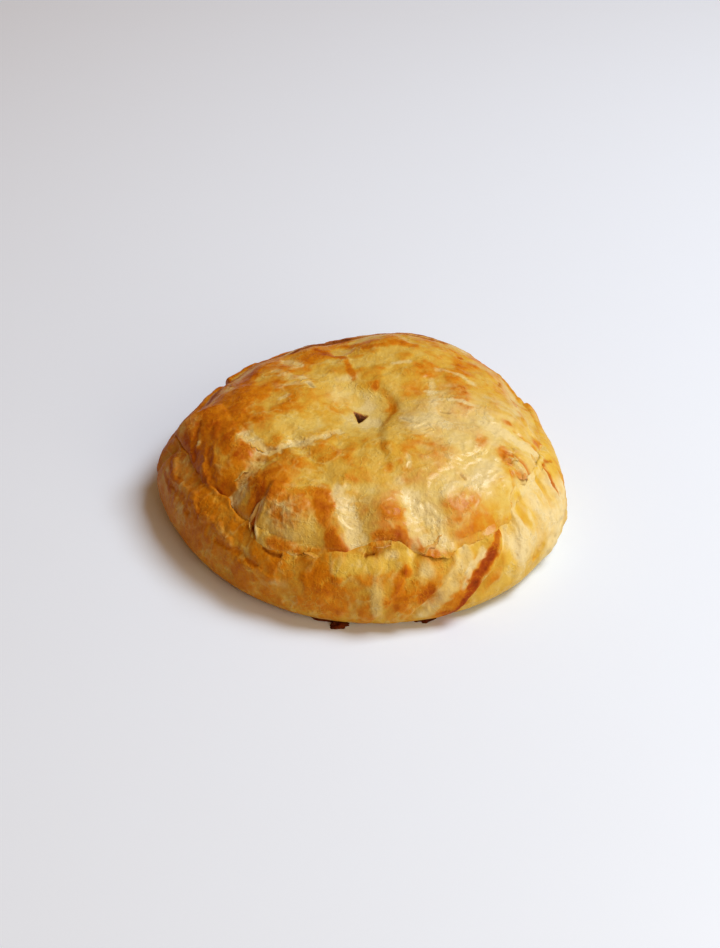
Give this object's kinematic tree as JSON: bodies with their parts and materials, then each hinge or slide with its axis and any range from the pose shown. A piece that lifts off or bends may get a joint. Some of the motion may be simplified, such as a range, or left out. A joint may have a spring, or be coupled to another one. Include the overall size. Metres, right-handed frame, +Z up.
{
  "type": "chicken pie",
  "caption": "Round hand-folded savoury pie in golden flaky pastry: pleated wall, domed blistered lid with a torn seam and a steam vent, flat foot.",
  "frame": {"origin": "centre of the pie's plan box, on the surface that its foot rests on", "axes": "+Z up through the lid, -Y the front with the torn seam and finger ridges, +X to the right seen from the front"},
  "size_m": [0.1076, 0.1076, 0.0312],
  "materials": {
    "crust": "satin"
  },
  "bodies": {
    "root": {"pie": "crust"}
  },
  "joints": []
}
